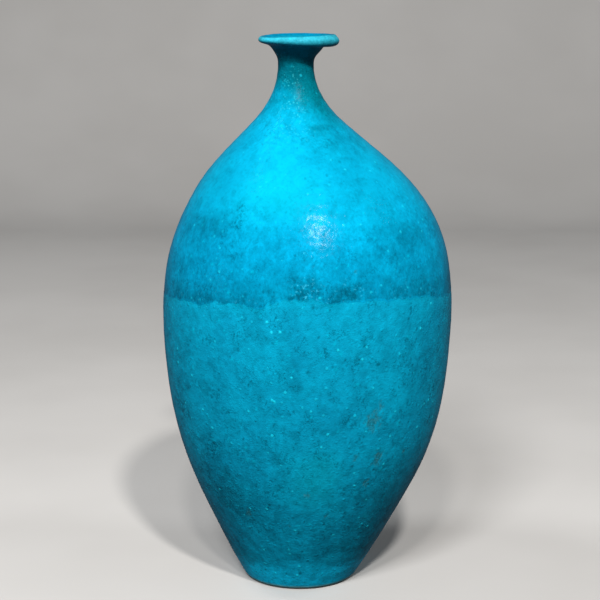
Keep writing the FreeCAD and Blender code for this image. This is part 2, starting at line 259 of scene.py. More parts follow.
def masks(p, az, z):
    """The glaze's named patterns at points p (mm), each a number per point."""
    up = z - line_level(az)
    m = {"up": up}
    patch = 0.0
    for a, half, top, weight in PATCHES:
        d = np.abs((az - a + 180) % 360 - 180) / half
        lift = step(-2.6, 1.4, up + 0.8 * noise(p, 3, 10)) * (1 - step(top * 0.35, top * 1.15, up + 3 * noise(p, 5, 11)))
        patch = np.maximum(patch, weight * (1 - step(0.15, 1.15, d + 0.35 * noise(p, 6, 12))) * lift)
    fringe = 0.45 * step(-0.5, 0.8, up) * (1 - step(2.0, 7.5, up + 2.5 * noise(p, 7, 15))) * (0.6 + 0.6 * noise(p, 16, 16))
    m["patch"] = np.clip(np.maximum(patch, fringe), 0, 1.2)
    worn = 0.0
    for a, level, w, h in WORN:
        dx = np.radians((az - a + 180) % 360 - 180) * 100.0 / w
        dz = (z - level) / h
        d = np.sqrt(dx * dx + dz * dz) + 0.45 * noise(p, 2.2, 13) + 0.25 * noise(p, 1.1, 14)
        worn = np.maximum(worn, 1 - step(0.45, 1.05, d))
    m["worn"] = worn
    soot = 0.0
    for a, level, w, h, weight in SOOT:
        dx = np.radians((az - a + 180) % 360 - 180) * 100.0 / w
        dz = (z - level) / h
        soot = np.maximum(soot, weight * (1 - step(0.2, 1.2, np.sqrt(dx * dx + dz * dz) + 0.35 * noise(p, 6.0, 17))))
    m["soot"] = soot
    # painted shade: darker zones where the lit body turns away from the light, on the right of the shoulder and neck,
    # beside the line, and low on the body
    aim = (az - 36 + 180) % 360 - 180
    low = 0.30 * np.exp(-((az - 48) / 20.0) ** 2 - ((z - 55) / 34.0) ** 2) + 0.24 * np.exp(-((az + 40) / 14.0) ** 2 - ((z - 82) / 22.0) ** 2)
    low = low + 0.20 * np.exp(-((az - 150) / 26.0) ** 2 - ((z - 70) / 30.0) ** 2) + 0.18 * np.exp(-((az + 122) / 24.0) ** 2 - ((z - 150) / 40.0) ** 2)
    m["shade"] = low + 0.30 * np.exp(-(aim / 30.0) ** 2 - ((z - 346) / 22.0) ** 2) + 0.17 * np.exp(-((az + 62) / 26.0) ** 2 - ((z - 318) / 34.0) ** 2)
    m["shade"] = m["shade"] + 0.20 * np.exp(-((az - 46) / 13.0) ** 2 - ((z - 281) / 15.0) ** 2) + 0.13 * np.exp(-((az - 30) / 13.0) ** 2 - ((z - 307) / 17.0) ** 2)
    m["shade"] = m["shade"] + 0.16 * np.exp(-((az + 46) / 15.0) ** 2 - ((z - 288) / 9.0) ** 2) + 0.16 * np.exp(-((az - 12) / 9.0) ** 2 - ((z - 343) / 8.0) ** 2)
    m["shade"] = m["shade"] + 0.25 * np.exp(-((az - 14) / 24.0) ** 2 - ((z - 39) / 9.0) ** 2)
    m["shade"] = m["shade"] + 0.11 * np.exp(-((az - 42) / 11.0) ** 2 - ((z - 271) / 15.0) ** 2) + 0.16 * np.exp(-((az + 50) / 14.0) ** 2 - ((z - 286) / 8.0) ** 2)
    m["shade"] = m["shade"] + 0.10 * np.exp(-((az + 57) / 10.0) ** 2 - ((z - 282) / 10.0) ** 2)
    # painted light: the brightest lit zone of the shoulder and a lit zone low on the front, to be painted paler
    m["glow"] = np.exp(-((az + 12) / 20.0) ** 2 - ((z - 312) / 17.0) ** 2) + 0.9 * np.exp(-((az - 4) / 12.0) ** 2 - ((z - 104) / 26.0) ** 2)
    # painted highlight: pale beads along the glinting streak down the neck
    m["beady"] = np.exp(-((az + 13 + (z - 372) * 0.25) / 25.0) ** 2) * step(340, 354, z + 3 * noise(p, 5, 19)) * (1 - step(393, 401, z))
    band = np.exp(-np.clip(up, 0, None) / 17.0) * step(-0.3, 0.6, up)
    m["band"] = band
    side = np.interp(az, [-180, -140, -95, -60, -38, -18, 5, 30, 60, 95, 140, 180], [0.16, 0.22, 0.20, 0.21, 0.20, 0.11, 0.06, 0.13, 0.11, 0.12, 0.12, 0.16])
    m["belt"] = side + 0 * up
    m["streak"] = fractal(p, 3.0, 21, 2, 0.6, (1, 1, 2.2)) * band
    return m


# -------------------------------------------------------------- pits, specks
def scatter(count, z_low, z_high, r_low, r_high, seed):
    """Spots on the outer wall: azimuth, level, radius in mm."""
    g = np.random.default_rng(seed)
    z = g.uniform(z_low, z_high, count * 3)
    r = np.interp(S_OF_Z(z), OUT_S, OUT_R)
    keep = g.uniform(0, 112, len(z)) < r
    z = z[keep][:count]
    return np.stack([g.uniform(-180, 180, len(z)), z, r_low + (r_high - r_low) * g.uniform(0, 1, len(z)) ** 2], -1)


def spots(az, z, r_wall, table, sharp=1.0):
    """How far each point is inside the nearest spot of the table, 0..1."""
    shape = az.shape
    a, zz, rr = az.ravel(), z.ravel(), r_wall.ravel()
    out = np.zeros(a.size)
    order = np.argsort(zz)
    zs = zz[order]
    for sa, sz, sr in table:
        lo, hi = np.searchsorted(zs, [sz - sr, sz + sr])
        k = order[lo:hi]
        dx = np.radians((a[k] - sa + 180) % 360 - 180) * rr[k]
        d = np.sqrt(dx * dx + (zz[k] - sz) ** 2) / sr
        out[k] = np.maximum(out[k], np.clip(1 - d**2, 0, 1) ** sharp)
    return out.reshape(shape)


PITS_LOW = scatter(330, 6, 238, 0.7, 1.7, 5)
BEADS_LOW = scatter(300, 6, 240, 0.9, 1.9, 6)
PITS_UP = scatter(150, 240, 400, 0.8, 1.6, 7)
BEADS_UP = scatter(110, 232, 300, 0.7, 1.4, 8)


# -------------------------------------------------------------------- meshes
def normals_of(p):
    """Unit normals of a grid of points: rows along the path, columns round the pot."""
    du = np.roll(p, -1, 1) - np.roll(p, 1, 1)
    dv = np.gradient(p, axis=0)
    n = np.cross(du, dv)
    return n / np.maximum(np.linalg.norm(n, axis=-1, keepdims=True), 1e-9)


def place(z, r, c, theta):
    """Points of the wall. z, r, c are rows x columns or rows x 1."""
    z, r, c = np.broadcast_arrays(z + 0 * theta, r + 0 * theta, c + 0 * theta)
    return np.stack([c + r * np.cos(theta), r * np.sin(theta), z], -1)


def make(name, rows, closed, attributes=None, shading=None):
    """A mesh from a grid of points in mm. closed joins the last row to the first; otherwise the end rows are poles."""
    n_rows, n_cols, _ = rows.shape
    j = np.arange(n_cols)
    jn = (j + 1) % n_cols
    quads = []
    if closed:
        verts = rows.reshape(-1, 3)
        for i in range(n_rows):
            a, b = i * n_cols, ((i + 1) % n_rows) * n_cols
            quads.append(np.stack([a + j, a + jn, b + jn, b + j], -1))
        faces = np.concatenate(quads)
        loops, tris = faces.ravel(), None
        starts = np.arange(len(faces)) * 4
        totals = np.full(len(faces), 4)
    else:
        verts = np.concatenate([rows[0].mean(0)[None], rows[1:-1].reshape(-1, 3), rows[-1].mean(0)[None]])
        for i in range(n_rows - 3):
            a, b = 1 + i * n_cols, 1 + (i + 1) * n_cols
            quads.append(np.stack([a + j, a + jn, b + jn, b + j], -1))
        faces = np.concatenate(quads)
        last = 1 + (n_rows - 3) * n_cols
        t0 = np.stack([0 * j, 1 + jn, 1 + j], -1)
        t1 = np.stack([last + j, last + jn, 0 * j + len(verts) - 1], -1)
        loops = np.concatenate([faces.ravel(), t0.ravel(), t1.ravel()])
        totals = np.concatenate([np.full(len(faces), 4), np.full(2 * n_cols, 3)])
        starts = np.concatenate([[0], np.cumsum(totals)[:-1]])
    me = bpy.data.meshes.new(name)
    me.vertices.add(len(verts))
    me.vertices.foreach_set("co", (verts * MM).astype(np.float32).ravel())
    me.loops.add(len(loops))
    me.loops.foreach_set("vertex_index", loops.astype(np.int32))
    me.polygons.add(len(totals))
    me.polygons.foreach_set("loop_start", starts.astype(np.int32))
    me.polygons.foreach_set("loop_total", totals.astype(np.int32))
    me.update(calc_edges=True)
    me.validate()
    me.polygons.foreach_set("use_smooth", np.ones(len(me.polygons), bool))
    for key, value in (attributes or {}).items():
        v = np.zeros(len(verts), np.float32)
        flat = np.asarray(value, np.float32)
        if closed:
            v[: flat.size] = flat.ravel()
        else:
            v[0], v[-1] = flat[0].mean(), flat[-1].mean()
            v[1:-1] = flat[1:-1].ravel()
        me.attributes.new(key, "FLOAT", "POINT").data.foreach_set("value", v)
    if shading is not None:
        me.normals_split_custom_set_from_vertices(shading.reshape(-1, 3).astype(np.float32).tolist())
    ob = bpy.data.objects.new(name, me)
    bpy.context.scene.collection.objects.link(ob)
    return ob


def angles(n):
    return np.arange(n) * 2 * math.pi / n


def lip_warp(p, s, theta, top):
    """The lip is uneven: thicker and rolled over at +X, thin and pointed at -X. Moves rows of the path near the lip."""
    az = azimuth(theta)
    side = (1 + np.sin(np.radians(az))) / 2
    wob = np.sin(np.radians(2 * az + 35))
    up = 0.25 + 1.35 * side + 0.28 * wob
    down = 2.5 * side**1.5 + 0.15 * (1 + wob)
    out = p.copy()
    r = np.hypot(p[..., 0] + 1.0, p[..., 1])
    if top:
        w = step(15.0, 27.0, r) * step(402.0, 412.0, p[..., 2])
        out[..., 2] += w * up
    else:
        edge = step(20.0, 27.5, r) * step(402.0, 411.5, p[..., 2])
        over = step(413.2, 417.2, p[..., 2])
        out[..., 2] += edge * (over * up - (1 - over) * down)
        # the thick end is rounded, not square
        inward = side**1.5 * step(402.0, 411.5, p[..., 2]) * (1.5 * step(415.3, 416.9, p[..., 2]) + 1.2 * (1 - step(412.6, 414.8, p[..., 2])) * step(24.0, 27.5, r))
        out[..., 0] -= inward * np.cos(theta)
        out[..., 1] -= inward * np.sin(theta)
        # the flare under the lip is fuller, most of all at +X
        full = (1.0 + 1.3 * side) * np.exp(-((p[..., 2] - 407.5) / 4.2) ** 2) * (1 - step(19.0, 26.0, r))
        out[..., 0] += full * np.cos(theta)
        out[..., 1] += full * np.sin(theta)
    return out


# ---- outer glaze: displacement along the wall's normal, in mm
def wall_relief(p, az, z, r, m, upper):
    d = 0.16 * noise(p, 55, 31) + 0.10 * noise(p, 24, 32)
    d = d + 0.055 * fractal(p, 7.5, 33, 3, 0.55)
    d = d + 0.05 * np.sin(z * 2 * math.pi / 7.2 + 1.4 * noise(p, 40, 34)) * step(255, 300, z) * (1 - step(392, 405, z))
    if upper:
        fade = 1 - step(300, 345, z)
        d = d + 0.05 * fade * noise(p, 2.4, 35)
        d = d + 0.06 * m["streak"] + 0.16 * m["patch"] * fractal(p, 3.0, 36, 2, 0.6, (1, 1, 1.4)) - 0.10 * m["patch"]
        d = d - 0.22 * spots(az, z, r, PITS_UP) + 0.16 * spots(az, z, r, BEADS_UP)
    else:
        d = d + 0.05 * fractal(p, 4.2, 37, 2, 0.6) + 0.035 * noise(p, 2.3, 38)
        d = d - 0.30 * spots(az, z, r, PITS_LOW) + 0.20 * spots(az, z, r, BEADS_LOW)
    return d - 0.22 * m["worn"]


def skin(name, s_rows, thickness, n_cols, relief, path, warp=None, extra=None, back_rows=16):
    """A closed skin: its outer face follows s_rows (rows x columns of path length) and is displaced by relief(...); its inner face runs thickness below. A ghost row at each end keeps the shading true at the seams."""
    theta = angles(n_cols)[None, :]
    s_rows = np.broadcast_to(s_rows, (s_rows.shape[0], n_cols))
    ghost_low = 2 * s_rows[:1] - s_rows[1:2]
    ghost_high = 2 * s_rows[-1:] - s_rows[-2:-1]
    s = np.concatenate([ghost_low, s_rows, ghost_high])
    z, r, c = path(s)
    base = place(z, r, c, theta + 0 * s)
    if warp is not None:
        base = warp(base, s, theta + 0 * s)
    normal = normals_of(base)
    az = azimuth(theta + 0 * s)
    d, attributes = relief(base, az, base[..., 2], r, s)
    outer = base + normal * d[..., None]
    shade = normals_of(outer)[1:-1]
    outer = outer[1:-1]
    pick = np.unique(np.linspace(0, s_rows.shape[0] - 1, back_rows).round().astype(int))[::-1]
    inner = (base - normal * thickness)[1:-1][pick]
    rows = np.concatenate([outer, inner])
    shading = np.concatenate([shade, -normal[1:-1][pick]])
    attrs = {}
    for k, v in attributes.items():
        v = np.broadcast_to(v, s.shape)[1:-1]
        attrs[k] = np.concatenate([v, v[pick]])
    return make(name, rows, True, attrs, shading)


N = 540
TH = angles(N)[None, :]
AZ = azimuth(TH)
S_LINE = S_OF_Z(line_level(AZ))
S_FOOT = S_OF_Z(0.7)
S_NECK = S_OF_Z(352.0)


def foot_glow(az, up):
    """Painted light: the last two or three centimetres of glaze above the foot are made lighter, most of all at the
    sides, to stand in for light reaching the underside.
    """
    side = 1 - np.exp(-((az / 25.0) ** 2))
    return (1 - step(0, 1, (up - 17 + 3 * side) / (19 - 3 * side))) * (0.66 + 0.45 * side)


def lower_relief(p, az, z, r, s):
    m = masks(p, az, z)
    d = wall_relief(p, az, z, r, m, False)
    below = np.clip(S_LINE - s, 0, None)
    # a rolled ledge where this coat ends, and a soft edge above the bare foot
    lip = 0.06 * np.exp(-below / 8.0) * (0.8 + 0.8 * noise(p, 9, 41) + 0.3 * noise(p, 3.2, 43))
    edge = step(0.0, 4.2, below)
    d = (d + lip + 0.04) * edge - 0.10 * (1 - edge)
    hem = step(0.0, 1.6, s - S_FOOT)
    d = d * hem - 0.16 * (1 - hem) + 0.22 * np.exp(-np.abs(s - S_FOOT - 2.6) / 1.2) * (0.7 + 0.4 * noise(p, 6, 42))
    return d, {
        "up": m["up"], "patch": m["patch"], "worn": m["worn"], "band": np.exp(-below / 1.8) + 0 * z, "belt": m["belt"] * 0,
        "soot": m["soot"], "shade": m["shade"], "glow": m["glow"], "beady": m["beady"], "rim": 0 * z, "dish": 0 * z, "teal": 0 * z,
        "pit": spots(az, z, r, PITS_LOW), "bead": spots(az, z, r, BEADS_LOW),
        "ledge": np.exp(-below / 3.4) + 0 * z, "foot": foot_glow(az, s - S_FOOT),
    }


def teal_part(p, az, z):
    """How green the thin glaze of the neck is: it comes lower down on the +X side."""
    low = np.interp(az, [-180, -100, -45, -8, 14, 45, 100, 180], [374, 377, 382, 376, 366, 359, 364, 374])
    return step(low - 22, low + 16, z + 5 * noise(p, 9, 18)) * np.interp(az, [-180, -60, 0, 50, 110, 180], [0.92, 0.88, 0.95, 1.0, 0.95, 0.92])


def upper_relief(p, az, z, r, s):
    m = masks(p, az, z)
    d = wall_relief(p, az, z, r, m, True)
    s_line = S_OF_Z(line_level(az))
    tuck = step(-0.9, -2.4, s - s_line)
    d = d * (1 - tuck) - 0.40 * tuck
    return d, {
        "up": m["up"], "patch": m["patch"], "worn": m["worn"], "band": m["band"], "belt": m["belt"],
        "soot": m["soot"], "shade": m["shade"], "glow": m["glow"], "beady": m["beady"], "rim": 0 * z, "dish": 0 * z, "teal": teal_part(p, az, z),
        "pit": spots(az, z, r, PITS_UP), "bead": spots(az, z, r, BEADS_UP),
        "ledge": 0 * z, "foot": 0 * z,
    }


def steps_between(a, b, count, extra_end=()):
    u = np.linspace(0, 1, count)[:, None]
    rows = a + (b - a) * u
    return rows


# lower coat: evenly spaced rows, then close ones over the ledge
body_rows = steps_between(S_FOOT + 1.6 + 0 * S_LINE, S_LINE - 2.4, 150)
hem_rows = S_FOOT + np.array([0, 0.35, 0.8])[:, None] + 0 * S_LINE
ledge_rows = S_LINE - np.array([1.9, 1.4, 1.0, 0.65, 0.3, 0.0])[:, None]
lower = skin("lower_glaze_skin", np.concatenate([hem_rows, body_rows, ledge_rows]), 0.55, N, lower_relief, out_at)

# upper coat: starts tucked under the lower one
tuck_rows = S_LINE - np.array([2.6, 1.6, 0.8])[:, None]
wall_rows = steps_between(S_LINE - 0.1, S_NECK + 0 * S_LINE, 150)
upper = skin("upper_glaze_skin", np.concatenate([tuck_rows, wall_rows]), 0.55, N, upper_relief, out_at)

# neck and lip: on over the rounded edge and a little way in
OUT_END = OUT_S[-1]
rim = [(417.2, 29.0, -1.0), (417.75, 27.9, -1.0), (417.55, 26.6, -1.05), (416.9, 25.0, -1.1), (416.45, 23.8, -1.15)]


def neck_path(s):
    """The outer profile carried on over the lip's edge."""
    return np.interp(s, NECK_S, NECK_Z), np.interp(s, NECK_S, NECK_R), np.interp(s, NECK_S, NECK_C)


tail = [t for t in OUTER if t[0] >= 310.0]
ns, nz, nr, nc = spline(tail[:-1] + [(416.6, 29.55, -1.0)] + rim[1:])
start = np.interp(352.0, nz[nz < 416], ns[nz < 416])
NECK_S, NECK_Z, NECK_R, NECK_C = ns - start, nz, nr, nc
NECK_END = NECK_S[-1]


def neck_relief(p, az, z, r, s):
    m = masks(p, az, z)
    d = wall_relief(p, az, z, r, m, True)
    over = step(NECK_END - 16, NECK_END - 8, s)
    d = d * (1 - 0.5 * over) + over * (0.07 * noise(p, 4.0, 51) + 0.12 * noise(p, 11.0, 52))
    tuck = step(NECK_END - 1.2, NECK_END, s)
    d = d - 0.30 * tuck
    return d, {
        "up": m["up"], "patch": m["patch"], "worn": m["worn"], "band": m["band"], "belt": m["belt"],
        "soot": m["soot"], "shade": m["shade"], "glow": m["glow"], "beady": m["beady"], "teal": teal_part(p, az, z),
        "rim": np.exp(-((s - NECK_END + 6.4) / 2.5) ** 2) * (1 - step(NECK_END - 4.6, NECK_END - 3.2, s)),
        "dish": step(NECK_END - 4.4, NECK_END - 3.0, s),
        "pit": spots(az, z, r, PITS_UP), "bead": spots(az, z, r, BEADS_UP),
        "ledge": 0 * z, "foot": 0 * z,
    }


neck = skin(
    "neck_glaze_skin", np.linspace(0, NECK_END, 215)[:, None], 0.5, N // 2, neck_relief, neck_path,
    warp=lambda p, s, th: lip_warp(p, s, th, False), back_rows=60,
)

# liner: from under the rim's inner edge, down the throat and over the floor
lining = INNER[:-1] + [(416.9, 27.0, -1.05)]
ls, lz, lr, lc = spline([(9.5, 4.0, 0.3), (9.5, 16.0, 0.35)] + [(z + (0.5 if z < 9.1 else 0), r, c) for z, r, c in lining])
LIN_S, LIN_Z, LIN_R, LIN_C = ls[-1] - ls[::-1], lz[::-1], lr[::-1], lc[::-1]


def liner_rows():
    n = 256
    th = angles(n)[None, :]
    s = np.concatenate([np.linspace(0, 70, 90), np.linspace(70, LIN_S[-1], 150)[1:]])[:, None] + 0 * th
    z, r, c = np.interp(s, LIN_S, LIN_Z), np.interp(s, LIN_S, LIN_R), np.interp(s, LIN_S, LIN_C)
    p = place(z, r, c, th + 0 * s)
    p = lip_warp(p, s, th + 0 * s, True)
    normal = normals_of(p)
    ring = 0.16 * np.sin(p[..., 2] * 2 * math.pi / 8.5 + 0.9 * noise(p, 60, 61)) * (1 - step(340, 380, p[..., 2]))
    d = 0.30 + ring + 0.05 * fractal(p, 5, 62, 3) + 0.10 * noise(p, 26, 63)
    d = d - 0.28 * (1 - step(0.0, 1.5, s))
    face = p + normal * d[..., None]
    pick = np.arange(0, len(s), 6)[::-1]
    back = (p - normal * -0.02)[pick]
    rows = np.concatenate([face, back])
    shading = np.concatenate([normals_of(face), -normal[pick]])
    depth = np.concatenate([s, s[pick]])
    zero = 0 * depth
    return make("inner_glaze_skin", rows, True, {"depth": depth, "up": zero + 150}, shading)


liner = liner_rows()


# clay base with its turned foot: one closed loop, floor to waist and back
def base_clay():
    n = 384
    th = angles(n)[None, :]
    g = 0.72
    path = [(2.4, 0.0, 0), (2.45, 6, 0), (2.4, 12, 0), (2.35, 18, 0), (2.4, 24, 0), (2.35, 28, 0), (2.2, 30.6, 0), (1.5, 31.6, 0), (0.7, 32.5, 0), (0.15, 33.3, 0), (0.0, 34.0, 0), (0.0, 36.0, 0), (0.0, 38.6, 0)]
    fine = []
    for (z0, r0, c0), (z1, r1, c1) in zip(path[:-1], path[1:]):
        k = max(2, int(math.hypot(z1 - z0, r1 - r0) / 0.55))
        for i in range(k):
            u = i / k
            fine.append((z0 + (z1 - z0) * u, r0 + (r1 - r0) * u, c0))
    s = np.concatenate([np.arange(0.0, 12.0, 0.4), np.linspace(12.0, S_OF_Z(233.9), 40)])
    z, r, c = out_at(s)
    nz = np.gradient(z, s)
    nr = np.gradient(r, s)
    for i in range(len(s)):
        fine.append((max(0.0, z[i] + g * nr[i] * (0 if z[i] < 0.5 else 1)), r[i] - g * nz[i], c[i]))
    fine += [(233.9, 106.9, 5.6), (230.5, 105.4, 5.6), (233.9, 103.9, 5.6)]
    zi = np.linspace(233.0, 11.5, 60)
    si = S_IN_OF_Z(zi)
    rr, cc = np.interp(si, IN_S, IN_R), np.interp(si, IN_S, IN_C)
    fine += [(a, b, d) for a, b, d in zip(zi, rr, cc)]
    fine += [(9.4, 31.5, 0.4), (9.1, 26.0, 0.4), (9.0, 12.0, 0.3), (9.0, 0.0, 0.3)]
    q = np.array(fine)
    z, r, c = q[:, 0][:, None], q[:, 1][:, None], q[:, 2][:, None]
    p = place(z, r, c, th + 0 * z)
    normal = normals_of(p)
    normal[0], normal[-1] = (0, 0, -1), (0, 0, 1)
    spiral = np.sin(2 * math.pi * r / 2.3 + (th + 0 * z) * 1.0)
    under = (step(0.3, 1.2, z) * (1 - step(30.5, 31.5, r))) * (z < 4) + 0 * th
    grit = fractal(p, 2.2, 71, 2, 0.6)
    d = 0.13 * spiral * under + 0.05 * grit + 0.12 * noise(p, 14, 72) * under
    chip = step(0.62, 1.0, noise(p, 5.5, 73)) * (z < 3) * (r > 38)
    d = d - 0.35 * chip
    flat = (1 - step(0.02, 0.6, z)) * (r > 32)
    inside = 1.0 * (np.arange(len(q)) > len(q) - 66)[:, None]
    d = d * (1 - inside) * (1 - (z > 5) * 0.7)
    d = np.where(flat > 0.5, np.minimum(d, 0.0), d)
    p = p + normal * d[..., None]
    p[..., 2] = np.maximum(p[..., 2], 0.0)
    return make("base_clay", p, False, {"turn": spiral * under, "chip": chip + 0 * th})


clay_base = base_clay()


# ----------------------------------------------------------------- materials
class Nodes:
    """A short way to write a shader's nodes."""

    def __init__(self, name):
        self.mat = bpy.data.materials.new(name)
        self.mat.use_nodes = True
        self.tree = self.mat.node_tree
        self.tree.nodes.clear()
        self.out = self.tree.nodes.new("ShaderNodeOutputMaterial")
        self.bsdf = self.tree.nodes.new("ShaderNodeBsdfPrincipled")
        self.tree.links.new(self.bsdf.outputs["BSDF"], self.out.inputs["Surface"])
        coord = self.tree.nodes.new("ShaderNodeTexCoord")
        self.where = coord.outputs["Object"]

    def put(self, socket, value):
        if isinstance(value, bpy.types.NodeSocket):
            self.tree.links.new(value, socket)
        elif isinstance(value, (tuple, list)) and len(value) == 3 and socket.type == "RGBA":
            socket.default_value = (*value, 1.0)
        else:
            socket.default_value = value

    def math(self, op, a, b=0.0, clamp=False):
        n = self.tree.nodes.new("ShaderNodeMath")
        n.operation, n.use_clamp = op, clamp
        self.put(n.inputs[0], a)
        self.put(n.inputs[1], b)
        return n.outputs[0]

    def scaled(self, vec):
        n = self.tree.nodes.new("ShaderNodeMapping")
        n.inputs["Scale"].default_value = vec
        self.tree.links.new(self.where, n.inputs["Vector"])
        return n.outputs["Vector"]

    def noise(self, size_mm, detail=3.0, rough=0.55, warp=0.0, stretch=None, seed=0.0):
        n = self.tree.nodes.new("ShaderNodeTexNoise")
        n.noise_dimensions = "4D"
        self.put(n.inputs["Vector"], self.scaled(stretch) if stretch else self.where)
        n.inputs["W"].default_value = seed
        n.inputs["Scale"].default_value = 1000.0 / size_mm
        n.inputs["Detail"].default_value = detail
        n.inputs["Roughness"].default_value = rough
        n.inputs["Distortion"].default_value = warp
        return n.outputs["Fac"]

    def cells(self, size_mm, feature="F1", stretch=None):
        n = self.tree.nodes.new("ShaderNodeTexVoronoi")
        n.feature = feature
        self.put(n.inputs["Vector"], self.scaled(stretch) if stretch else self.where)
        n.inputs["Scale"].default_value = 1000.0 / size_mm
        return n

    def ramp(self, value, low, high, a=0.0, b=1.0):
        n = self.tree.nodes.new("ShaderNodeMapRange")
        n.interpolation_type = "SMOOTHSTEP"
        self.put(n.inputs["Value"], value)
        n.inputs["From Min"].default_value, n.inputs["From Max"].default_value = low, high
        n.inputs["To Min"].default_value, n.inputs["To Max"].default_value = a, b
        return n.outputs["Result"]

    def mix(self, fac, a, b, how="MIX"):
        n = self.tree.nodes.new("ShaderNodeMix")
        n.data_type, n.blend_type = "RGBA", how
        self.put(n.inputs[0], fac)
        self.put(n.inputs[6], a)
        self.put(n.inputs[7], b)
        return n.outputs[2]

    def attr(self, name):
        n = self.tree.nodes.new("ShaderNodeAttribute")
        n.attribute_name = name
        return n.outputs["Fac"]

    def grey(self, value, tint=(1.0, 1.0, 1.0)):
        """A colour with this value in each channel, times tint."""
        n = self.tree.nodes.new("ShaderNodeCombineColor")
        for i in range(3):
            self.put(n.inputs[i], self.math("MULTIPLY", value, tint[i]) if tint[i] != 1.0 else value)
        return n.outputs[0]

    def height_z(self):
        n = self.tree.nodes.new("ShaderNodeSeparateXYZ")
        self.tree.links.new(self.where, n.inputs[0])
        return n.outputs["Z"]

    def bump(self, height, distance_mm, strength=1.0):
        n = self.tree.nodes.new("ShaderNodeBump")
        self.put(n.inputs["Height"], height)
        n.inputs["Distance"].default_value = distance_mm * MM
        n.inputs["Strength"].default_value = strength
        return n.outputs["Normal"]


